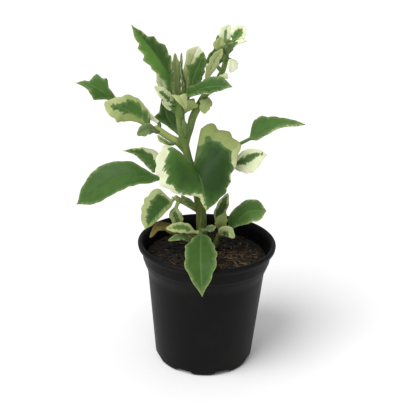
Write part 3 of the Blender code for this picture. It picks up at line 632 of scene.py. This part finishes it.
def smooth_points(points, between):
    """Points on the smooth curve through the given ones, with so many steps between each."""
    found = []
    vectors = [Vector(point) for point in points]
    for i in range(len(vectors) - 1):
        before = vectors[max(i - 1, 0)]
        after = vectors[min(i + 2, len(vectors) - 1)]
        start, end = vectors[i], vectors[i + 1]
        for k in range(between):
            t = k / between
            leave, reach = (end - before) / 2, (after - start) / 2
            found.append(
                start * (2 * t**3 - 3 * t**2 + 1) + leave * (t**3 - 2 * t**2 + t)
                + end * (3 * t**2 - 2 * t**3) + reach * (t**3 - t**2)
            )
    return found + [vectors[-1]]


def stem_at(name, height):
    """The point on a stem's axis at a height, the axis's direction and the radius there."""
    points = STEMS[name]
    for low, high in zip(points, points[1:]):
        if low[2] <= height <= high[2]:
            share = (height - low[2]) / (high[2] - low[2])
            mid = Vector(low).lerp(Vector(high), share)
            axis = Vector(high[:3]) - Vector(low[:3])
            return mid.to_3d(), axis.normalized(), mid.w
    raise ValueError(f"{name} has no point at height {height}")


def bend(design, start, away, share):
    """Place and direction on the midrib at a share of its length, in two smooth spans."""
    via, tip = Vector(design["via"]), Vector(design["tip"])
    first, second = (via - start).length, (tip - via).length
    middle = first / (first + second)
    through = tip - start
    if share <= middle:
        t = share / middle
        ends = (start, via, away * first * ENDS_PULL, through * middle)
    else:
        t = (share - middle) / (1 - middle)
        ends = (via, tip, through * (1 - middle), (tip - via) * ENDS_PULL)
    a, b, leave, reach = ends
    place = (
        a * (2 * t**3 - 3 * t**2 + 1) + leave * (t**3 - 2 * t**2 + t)
        + b * (3 * t**2 - 2 * t**3) + reach * (t**3 - t**2)
    )
    heading = (
        a * (6 * t**2 - 6 * t) + leave * (3 * t**2 - 4 * t + 1)
        + b * (6 * t - 6 * t**2) + reach * (3 * t**2 - 2 * t)
    )
    return place, heading.normalized()


def along_list(values, share):
    """The value of a smooth curve through evenly spaced values, at a share of its length."""
    place = min(share, 1) * (len(values) - 1)
    i = min(int(place), len(values) - 2)
    t = place - i
    start, end = values[i], values[i + 1]
    leave = (end - values[max(i - 1, 0)]) / 2
    reach = (values[min(i + 2, len(values) - 1)] - start) / 2
    return (
        start * (2 * t**3 - 3 * t**2 + 1) + leave * (t**3 - 2 * t**2 + t)
        + end * (3 * t**2 - 2 * t**3) + reach * (t**3 - t**2)
    )


def half_width(design, look, seed, blade, side):
    """Half the blade's width at a share of its length, and how far a tooth reaches there."""
    width = design["half"][side]
    if isinstance(width, tuple):
        width = along_list(width, blade)
    else:
        low, high = blade / WIDEST, (1 - blade) / (1 - WIDEST)
        width *= max(low, 0) ** (WIDEST * TAPER) * max(high, 0) ** ((1 - WIDEST) * TAPER)
    phase = design["teeth"] * blade
    lean = phase - 0.09 * math.sin(math.tau * phase)
    round_tooth = math.cos(math.tau * lean)
    keen_tooth = 1 - 2 * abs(math.sin(math.pi * lean)) ** 0.75
    tooth = round_tooth + (keen_tooth - round_tooth) * look["sharp"]
    uneven = 0.65 + 0.7 * chance(round(phase), side + 2 * seed)
    reach = width * design["depth"] * tooth * uneven
    return max(width + reach, TIP_HALF_WIDTH), reach


def across(width, fold, curl, share):
    """Sideways and upward reach of a cross-section that starts at a fold and curls evenly."""
    fold, curl = math.radians(fold), math.radians(curl)
    if abs(curl) < 0.01:
        return width * share * math.cos(fold), width * share * math.sin(fold)
    turn = fold + curl * share
    sideways = width / curl * (math.sin(turn) - math.sin(fold))
    return sideways, width / curl * (math.cos(fold) - math.cos(turn))


class Leaf:
    """One leaf's form: rows of rings round its midrib, each with an upper and an under side."""

    def __init__(self, name, design, look):
        self.name, self.design, self.look = name, design, look
        self.seed = sorted(LEAVES).index(name)
        root, axis, radius = stem_at(design["stem"], design["at"])
        via, tip = Vector(design["via"]), Vector(design["tip"])
        self.root = root
        self.away = via - root
        self.away = (self.away - axis * self.away.dot(axis)).normalized()
        self.start = root + self.away * (radius + GAP)
        self.length = (via - self.start).length + (tip - via).length
        self.first = 0.5 / design["teeth"]

    def frame_at(self, along):
        """Place, sideways and upper direction of the midrib. along is below 0 on the petiole."""
        design = self.design
        petiole = design["petiole"] / self.length
        blade = max(along, 0)
        share = petiole * (along + 1) if along < 0 else petiole + (1 - petiole) * blade
        place, heading = bend(design, self.start, self.away, share)
        upper = Vector(design["face"])
        upper = (upper - heading * upper.dot(heading)).normalized()
        return place, heading.cross(upper), upper

    def blade_point(self, blade, side_share):
        """A point of the blade's middle surface, and the half width there."""
        design = self.design
        place, sideways, upper = self.frame_at(blade)
        onward = upper.cross(sideways)
        side = int(side_share > 0)
        width, tooth = half_width(design, self.look, self.seed, blade, side)
        out, up = across(width, design["fold"][side], design["curl"][side], abs(side_share))
        turn = math.radians(design["spread"][side]) * (1 - blade) ** SPREAD_FADE
        back = Vector(design["back"]).normalized()
        row = sideways * math.copysign(math.cos(turn), side_share) + back * math.sin(turn)
        point = place + row * out + upper * up
        swell = noise.noise(point * 0.11 + Vector((self.seed * 3.7, 0, 0)))
        ruffle = noise.noise(point * 0.34 + Vector((0, self.seed * 1.9, 0)))
        lift = (0.9 * swell + 0.35 * ruffle) * min(width / 8, 1) * side_share**2
        return point + upper * lift + onward * tooth * self.look["sharp"] * side_share**4, width

    def row(self, along):
        """Middle points, half widths and shares of one row across the leaf."""
        if along <= 0:
            place, sideways, _ = self.frame_at(along)
            neck = NECK * (1 + 0.25 * max(0, -along - 0.6) / 0.4)
            return [(place + sideways * neck * share, neck) for share in self.shares]
        if along < self.first:
            t = along / self.first
            near = self.row(0)
            far = [self.blade_point(self.first, share) for share in self.shares]
            return [
                (a.lerp(b, t), u + (v - u) * t) for (a, u), (b, v) in zip(near, far)
            ]
        return [self.blade_point(along, share) for share in self.shares]

    def ring(self, alongs, blade):
        return min(range(len(alongs)), key=lambda i: abs(alongs[i] - blade))

    def column(self, share):
        return min(range(len(self.shares)), key=lambda j: abs(self.shares[j] - share))

    def rows(self):
        petiole_rows = max(3, round(self.design["petiole"] / 2.5))
        alongs = [i / petiole_rows - 1 for i in range(petiole_rows)]
        alongs += [self.first * t for t in (0, 0.18, 0.4, 0.7)]
        blade_rows = max(16, self.design["teeth"] * ROWS_PER_TOOTH)
        rest = 1 - self.first
        alongs += [self.first + rest * i / blade_rows for i in range(blade_rows + 1)]
        return alongs

    def margins(self, grid, alongs):
        """How far every point lies inside the pale margin, and how pale its own margin is."""
        rim = []
        for side, column in ((0, 0), (1, -1)):
            line = [row[column] for row, along in zip(grid, alongs) if along >= 0]
            runs = [0.0]
            for low, high in zip(line, line[1:]):
                runs.append(runs[-1] + (high - low).length)
            for point, run in zip(line, runs):
                share = run / runs[-1]
                width = along_table(self.look["cream"][side], share)
                rim.append((*point, width, along_table(self.look["pale"][side], share)))
        rim = numpy.array(rim)
        points = numpy.array([[tuple(point) for point in row] for row in grid])
        inside = numpy.linalg.norm(points[:, :, None] - rim[:, :3], axis=3) - rim[:, 3]
        return inside.min(axis=2), rim[inside.argmin(axis=2), 4]

    def build(self, material):
        design, look = self.design, self.look
        widest = max(max(side) if isinstance(side, tuple) else side for side in design["half"])
        steps = COLUMNS if widest > 5 else COLUMNS[::2]
        self.shares = [-step for step in reversed(steps[1:])] + list(steps)
        alongs = self.rows()
        middles = [self.row(along) for along in alongs]
        base = self.root + (self.start - self.root) * 0.25 - self.start
        middles.insert(0, [(point + base, width) for point, width in middles[0]])
        alongs.insert(0, -1.0)
        count = len(self.shares)
        centre = count // 2
        grid = [[point for point, _ in row] for row in middles]
        insides, pales = self.margins(grid, alongs)
        bm = bmesh.new()
        layers = {
            key: bm.verts.layers.float.new(key)
            for key in ("inside", "rib", "tone", "pale", "jag", "under", "dry", "vein")
        }
        grain = bm.verts.layers.float_vector.new("grain")
        travelled = 0.0
        rings = []
        for i, along in enumerate(alongs):
            if i:
                travelled += (grid[i][centre] - grid[i - 1][centre]).length
            ahead = grid[min(i + 1, len(grid) - 1)]
            behind = grid[max(i - 1, 0)]
            upper_row, under_row = [], []
            blade = max(along, 0)
            for j, share in enumerate(self.shares):
                point, width = middles[i][j]
                side = int(share > 0)
                run = ahead[j] - behind[j]
                over = grid[i][min(j + 1, count - 1)] - grid[i][max(j - 1, 0)]
                normal = over.cross(run)
                if normal.length < 1e-6:
                    normal = self.frame_at(along)[2]
                normal.normalize()
                flat = min(blade * 6, 1)
                body = FLESH + (NECK - 0.3 - FLESH) * (1 - flat)
                body *= 1 - 0.45 * blade**3
                half = body * math.sqrt(max(1 - abs(share) ** (2 + 1.5 * flat), 0))
                rib = share * width
                groove = flat * (1 - blade) ** 0.4 * math.exp(-((rib / 0.9) ** 2))
                depth_in = insides[i, j] if along > 0 else look["stalk"]
                onto = min(blade * self.length / 5, 1)
                dried = [
                    2 - 2 * (point - grid[self.ring(alongs, at)][self.column(across_at)]).length / size
                    for at, across_at, size in look["spots"]]
                # The green's brightness holds painted light and shade for each side, less painted shade
                # towards the middle.
                values = {
                    "inside": look["stalk"] + (depth_in - look["stalk"]) * onto, "rib": rib,
                    "tone": along_table(look["tone"][side], blade)
                    - look["deep"] * min(max((insides[i, j] - 2) / 8, 0), 1),
                    "pale": pales[i, j], "jag": look["jag"] * onto, "vein": look["vein"],
                    "dry": min(max(look["dry"], *dried, 0), 1),
                }
                streak = travelled - 0.6 * abs(rib)
                for row, sign in ((upper_row, 1), (under_row, -1)):
                    if sign < 0 and (j == 0 or j == count - 1):
                        continue
                    depth = half - 0.3 * groove if sign > 0 else half + 0.35 * groove
                    vert = bm.verts.new((point + normal * depth * sign) * MM)
                    for key, value in values.items():
                        vert[layers[key]] = value
                    vert[layers["under"]] = look["under"] if sign > 0 else max(look["under"], 0.4)
                    vert[grain] = (streak, rib, self.seed * 11.0 + (sign < 0) * 5)
                    row.append(vert)
            rings.append(upper_row + under_row[::-1])
        for low, high in zip(rings, rings[1:]):
            for k in range(len(low)):
                after = (k + 1) % len(low)
                bm.faces.new((low[k], high[k], high[after], low[after]))
        bm.faces.new(rings[0])
        bm.faces.new(rings[-1][::-1])
        bmesh.ops.recalc_face_normals(bm, faces=bm.faces)
        mesh = bpy.data.meshes.new(self.name)
        bm.to_mesh(mesh)
        bm.free()
        return piece(self.name.replace("leaf_", "blade_"), mesh, material, self.name)


def evaluated_mesh(obj):
    """The object's mesh with its modifiers applied; the object itself is then removed."""
    bpy.context.view_layer.update()
    graph = bpy.context.evaluated_depsgraph_get()
    mesh = bpy.data.meshes.new_from_object(obj.evaluated_get(graph))
    bpy.data.objects.remove(obj)
    return mesh


def loose(name, data):
    made = bpy.data.objects.new(name, data)
    bpy.context.scene.collection.objects.link(made)
    return made


def stem_tube(name):
    """A stem as a round tube, swollen a little at every leaf that it carries."""
    curve = bpy.data.curves.new(name, "CURVE")
    curve.dimensions = "3D"
    curve.bevel_depth = MM
    curve.bevel_resolution = 6
    curve.use_fill_caps = True
    axis = smooth_points([point[:3] for point in STEMS[name]], 8)
    radii = smooth_points([(point[3], 0, 0) for point in STEMS[name]], 8)
    nodes = [design["at"] for design in LEAVES.values() if design["stem"] == name]
    spline = curve.splines.new("POLY")
    spline.points.add(len(axis) - 1)
    for point, place, radius in zip(spline.points, axis, radii):
        swell = max((math.exp(-(((place.z - at) / 1.6) ** 2)) for at in nodes), default=0)
        uneven = 0.04 * noise.noise(place * 0.16)
        point.co = (*(place * MM), 1)
        point.radius = radius.x * (1 + 0.1 * swell + uneven)
    return evaluated_mesh(loose(name, curve))


def grown_stems(name, parts, material, node):
    """Stem tubes grown together into one skin, with soft crotches where they fork."""
    bm = bmesh.new()
    for part in parts:
        bm.from_mesh(stem_tube(part))
    mesh = bpy.data.meshes.new(name)
    bm.to_mesh(mesh)
    bm.free()
    rough = loose(name + "_rough", mesh)
    remesh = rough.modifiers.new("Skin", "REMESH")
    remesh.mode = "VOXEL"
    remesh.voxel_size = 0.42 * MM
    soften = rough.modifiers.new("Soften", "SMOOTH")
    soften.iterations = 9
    return piece(name, evaluated_mesh(rough), material, node)


def turned(name, profile, steps):
    """A profile of (radius, height) turned about Z. It runs down the outside, then back up."""
    mesh = bpy.data.meshes.new(name)
    points = [(radius * MM, 0, height * MM) for radius, height in profile]
    edges = [(i, i + 1) for i in range(len(points) - 1) if profile[i][0] or profile[i + 1][0]]
    if profile[0][0] > 0:
        edges.append((len(points) - 1, 0))
    mesh.from_pydata(points, edges, [])
    made = loose(name, mesh)
    screw = made.modifiers.new("Turn", "SCREW")
    screw.axis = "Z"
    screw.steps = steps
    screw.render_steps = steps
    screw.use_merge_vertices = True
    screw.merge_threshold = 1e-5
    return made


def rounded(corners, turns=4):
    """A profile whose corners (radius, height, rounding) are turned into short arcs."""
    found = []
    for i, (radius, height, size) in enumerate(corners):
        here = Vector((radius, height))
        if size == 0:
            found.append((radius, height))
            continue
        before = Vector(corners[i - 1][:2]) - here
        after = Vector(corners[(i + 1) % len(corners)][:2]) - here
        enter = here + before.normalized() * min(size, before.length * 0.48)
        leave = here + after.normalized() * min(size, after.length * 0.48)
        for k in range(turns + 1):
            t = k / turns
            bow = enter * (1 - t) ** 2 + here * 2 * t * (1 - t) + leave * t**2
            found.append((bow.x, bow.y))
    return found


def make_pot(material):
    lip_foot = POT_HEIGHT - LIP_DEPTH
    corners = [
        (RIM_RADIUS - 1.6, POT_HEIGHT, 1.2), (RIM_RADIUS, POT_HEIGHT - 1.4, 1.2),
        (RIM_RADIUS - 0.6, lip_foot, 0.8), (COLLAR_RADIUS + 0.8, lip_foot - 0.3, 0.6),
        (COLLAR_RADIUS, lip_foot - 1.6, 0.8), (SHOULDER_RADIUS + 0.5, COLLAR_FOOT + 0.2, 0.5),
        (SHOULDER_RADIUS - 0.1, COLLAR_FOOT - 0.8, 0.6),
        (SHOULDER_RADIUS - 0.8, COLLAR_FOOT - 3.5, 2.0),
        (BODY_TOP_RADIUS + 1.0, SHOULDER_FOOT + 3.5, 2.0), (BODY_TOP_RADIUS, SHOULDER_FOOT, 1.5),
        (BASE_RADIUS + 0.4, 4.0, 1.2), (BASE_RADIUS, 1.4, 1.0), (BASE_RADIUS - 1.4, 0, 0.8),
        (BASE_RADIUS - 4.0, 0, 0.3), (BASE_RADIUS - 4.4, 0.8, 0.3), (12.0, 0.8, 0.3),
        (11.5, 0, 0.3), (0, 0, 0), (0, WALL, 0), (BASE_RADIUS - WALL - 0.6, WALL, 0.8),
        (BODY_TOP_RADIUS - WALL, SHOULDER_FOOT, 1.5),
        (SHOULDER_RADIUS - WALL, COLLAR_FOOT - 2, 1.5), (COLLAR_RADIUS - WALL, lip_foot, 1.0),
        (RIM_RADIUS - 4, POT_HEIGHT - 1.6, 1.0), (RIM_RADIUS - 3, POT_HEIGHT - 0.2, 0.6),
    ]
    pot = turned("pot_rough", rounded(corners), POT_STEPS)
    cutters = []
    for i in range(NOTCH_COUNT):
        bm = bmesh.new()
        bmesh.ops.create_cone(
            bm, cap_ends=True, segments=40, radius1=NOTCH_WIDTH / 2 * MM,
            radius2=NOTCH_WIDTH / 2 * MM, depth=NOTCH_REACH * MM)
        bmesh.ops.rotate(bm, verts=bm.verts, matrix=Matrix.Rotation(math.pi / 2, 3, "Y"))
        bmesh.ops.scale(bm, verts=bm.verts, vec=(1, 1, 2 * NOTCH_HEIGHT / NOTCH_WIDTH))
        bmesh.ops.translate(bm, verts=bm.verts, vec=(BASE_RADIUS * MM, 0, 0))
        turn = Matrix.Rotation((i + 0.5) * math.tau / NOTCH_COUNT, 3, "Z")
        bmesh.ops.rotate(bm, verts=bm.verts, matrix=turn)
        mesh = bpy.data.meshes.new(f"notch_{i}")
        bm.to_mesh(mesh)
        bm.free()
        cutters.append(loose(f"notch_{i}", mesh))
        cut = pot.modifiers.new(f"Notch {i}", "BOOLEAN")
        cut.operation = "DIFFERENCE"
        cut.object = cutters[-1]
    mesh = evaluated_mesh(pot)
    for cutter in cutters:
        bpy.data.objects.remove(cutter)
    made = piece("nursery_pot", mesh, material, "pot")
    mesh.set_sharp_from_angle(angle=math.radians(38))
    return made


def soil_top(x, y):
    """Height of the crumbly surface at a place, in millimetres."""
    reach = math.hypot(x, y)
    mound = 1.4 - 2.4 * (reach / 45) ** 2
    place = Vector((x, y, 0))
    clods = noise.noise(place * 0.16) * 1.2 + noise.noise(place * 0.42) * 0.9
    grit = abs(noise.noise(place * 1.1)) * 0.9
    return SOIL_HEIGHT - 0.4 + mound + clods + grit


def make_soil(material):
    """The compost as one solid: a rough top, and a plain side and foot inside the pot."""
    edge = SHOULDER_RADIUS - WALL - 0.6
    low_edge = BASE_RADIUS - WALL - 1.1
    bm = bmesh.new()
    rings = [[bm.verts.new((0, 0, soil_top(0, 0) * MM))]]
    for i in range(1, SOIL_RINGS + 1):
        ring = []
        for k in range(SOIL_STEPS):
            angle = math.tau * (k + 0.5 * (i % 2)) / SOIL_STEPS
            reach = edge * i / SOIL_RINGS
            x, y = reach * math.cos(angle), reach * math.sin(angle)
            ring.append(bm.verts.new((x * MM, y * MM, soil_top(x, y) * MM)))
        rings.append(ring)
    side = [(edge - 0.3, COLLAR_FOOT - 3), (BODY_TOP_RADIUS - WALL - 0.6, SHOULDER_FOOT)]
    for reach, height in side + [(low_edge, SOIL_FOOT)]:
        ring = []
        for k in range(SOIL_STEPS):
            angle = math.tau * k / SOIL_STEPS
            ring.append(bm.verts.new(
                (reach * math.cos(angle) * MM, reach * math.sin(angle) * MM, height * MM)))
        rings.append(ring)
    for low, high in zip(rings, rings[1:]):
        for k in range(SOIL_STEPS):
            after = (k + 1) % SOIL_STEPS
            if len(low) == 1:
                bm.faces.new((low[0], high[k], high[after]))
            else:
                bm.faces.new((low[k], high[k], high[after], low[after]))
    bm.faces.new(rings[-1][::-1])
    bmesh.ops.recalc_face_normals(bm, faces=bm.faces)
    mesh = bpy.data.meshes.new("compost")
    bm.to_mesh(mesh)
    bm.free()
    return piece("compost", mesh, material, "soil")


def soil_spot(i, salt):
    """A repeatable place on the soil, clear of the stems, for the i-th loose bit."""
    for attempt in range(20):
        reach = 43.5 * math.sqrt(chance(i, salt, attempt))
        angle = math.tau * chance(i, salt + 3, attempt)
        x, y = reach * math.cos(angle), reach * math.sin(angle)
        clear = min(
            math.hypot(x - STEMS[name][0][0], y - STEMS[name][0][1]) for name in ROOTED)
        if clear > 6:
            return x, y
    return 30.0, 10.0


def make_crumbs(material):
    """Loose crumbs of compost, each a dented ball, gathered in one piece."""
    bm = bmesh.new()
    for i in range(CRUMB_COUNT):
        x, y = soil_spot(i, 1)
        size = 0.5 + 1.5 * chance(i, 8) ** 2.2
        place = Vector((x, y, soil_top(x, y) + size * 0.25))
        made = bmesh.ops.create_icosphere(bm, subdivisions=2, radius=size)
        stretch = Vector((1, 0.65 + 0.5 * chance(i, 9), 0.55 + 0.4 * chance(i, 10)))
        turn = Matrix.Rotation(math.tau * chance(i, 11), 3, "Z")
        for vert in made["verts"]:
            dent = 1 + 0.35 * noise.noise(vert.co * 1.3 + Vector((i * 2.3, 0, 0)))
            vert.co = (place + turn @ (vert.co * dent * stretch)) * MM
    mesh = bpy.data.meshes.new("crumbs")
    bm.to_mesh(mesh)
    bm.free()
    return piece("soil_crumbs", mesh, material, smooth=False)


def fibre_strand(bm, points, radius):
    """A thin three-sided strand through the points, pinched at both ends."""
    rings = []
    for i, point in enumerate(points):
        ahead = points[min(i + 1, len(points) - 1)] - points[max(i - 1, 0)]
        side = ahead.cross(Vector((0, 0, 1))).normalized()
        up = side.cross(ahead).normalized()
        slim = radius * (0.35 + 0.65 * math.sin(math.pi * (i + 0.5) / len(points)))
        rings.append([
            bm.verts.new((point + (side * math.cos(a) + up * math.sin(a)) * slim) * MM)
            for a in (0.5, 2.6, 4.7)])
    for low, high in zip(rings, rings[1:]):
        for k in range(3):
            bm.faces.new((low[k], low[(k + 1) % 3], high[(k + 1) % 3], high[k]))
    bm.faces.new(rings[0][::-1])
    bm.faces.new(rings[-1])


def make_fibres(material):
    """Coir fibres and bark chips, thickest at the right of the plant."""
    bm = bmesh.new()
    for i in range(FIBRE_COUNT):
        x, y = soil_spot(i, 21)
        if i % 3:
            x = 24 + 17 * (chance(i, 31) - 0.5) * 2
            y = -8 + 22 * (chance(i, 32) - 0.5) * 2
        if math.hypot(x, y) > 42:
            continue
        angle = math.tau * chance(i, 22)
        length = 2.5 + 6.5 * chance(i, 23)
        bow = (chance(i, 24) - 0.5) * 1.6
        points = []
        for k in range(7):
            t = k / 6 - 0.5
            turn = angle + bow * t
            px = x + math.cos(turn) * length * t
            py = y + math.sin(turn) * length * t
            hop = 0.45 + 0.7 * chance(i, 25) * (1 - 4 * t * t)
            points.append(Vector((px, py, soil_top(px, py) * 0.5 + soil_top(x, y) * 0.5 + hop)))
        fibre_strand(bm, points, 0.16 + 0.34 * chance(i, 26) ** 2)
    bmesh.ops.recalc_face_normals(bm, faces=bm.faces)
    mesh = bpy.data.meshes.new("fibres")
    bm.to_mesh(mesh)
    bm.free()
    return piece("soil_fibres", mesh, material)


def broad_light(name, toward, strength, spread):
    """Even light from one side, as from a large diffuser far away."""
    lamp = bpy.data.lights.new(name, "SUN")
    lamp.energy = strength
    lamp.angle = math.radians(spread)
    loose(name, lamp).rotation_euler = Vector(toward).to_track_quat("-Z", "Y").to_euler()


def make_studio():
    """The photo's camera, a soft sun lamp, bright surroundings and a plain pale floor."""
    scene = bpy.context.scene
    lens = bpy.data.cameras.new("camera")
    lens.lens = LENS
    lens.sensor_width = 36
    camera = loose("camera", lens)
    camera.matrix_world = (
        Matrix.Translation(EYE) @ Matrix.Rotation(math.radians(90 - PITCH), 4, "X")
        @ Matrix.Rotation(math.radians(ROLL), 4, "Z"))
    scene.camera = camera
    scene.view_settings.view_transform = "Standard"
    broad_light("key", (0.55, 0.5, -1.0), 2.4, 40)
    world = bpy.data.worlds.new("studio")
    world.use_nodes = True
    world.node_tree.nodes["Background"].inputs["Color"].default_value = (1, 1, 1, 1)
    world.node_tree.nodes["Background"].inputs["Strength"].default_value = 0.6
    scene.world = world
    bm = bmesh.new()
    bmesh.ops.create_circle(bm, cap_ends=True, segments=96, radius=9.0)
    mesh = bpy.data.meshes.new("floor")
    bm.to_mesh(mesh)
    bm.free()
    mesh.materials.append(studio_white())
    loose("floor", mesh)


def make_plant():
    flesh, rind, earth = leaf_flesh(), stem_rind(), potting_soil()
    make_pot(pot_plastic())
    make_soil(earth)
    make_crumbs(earth)
    make_fibres(fibre_brown())
    grown_stems("stem_main", ("main", *BRANCHES), rind, "main_stem")
    grown_stems("stem_side", ("side_shoot",), rind, "side_shoot")
    grown_stems("stem_front", ("front_shoot",), rind, "front_shoot")
    for name, design in LEAVES.items():
        Leaf(name, design, FINISHES[name]).build(flesh)


make_studio()
make_plant()
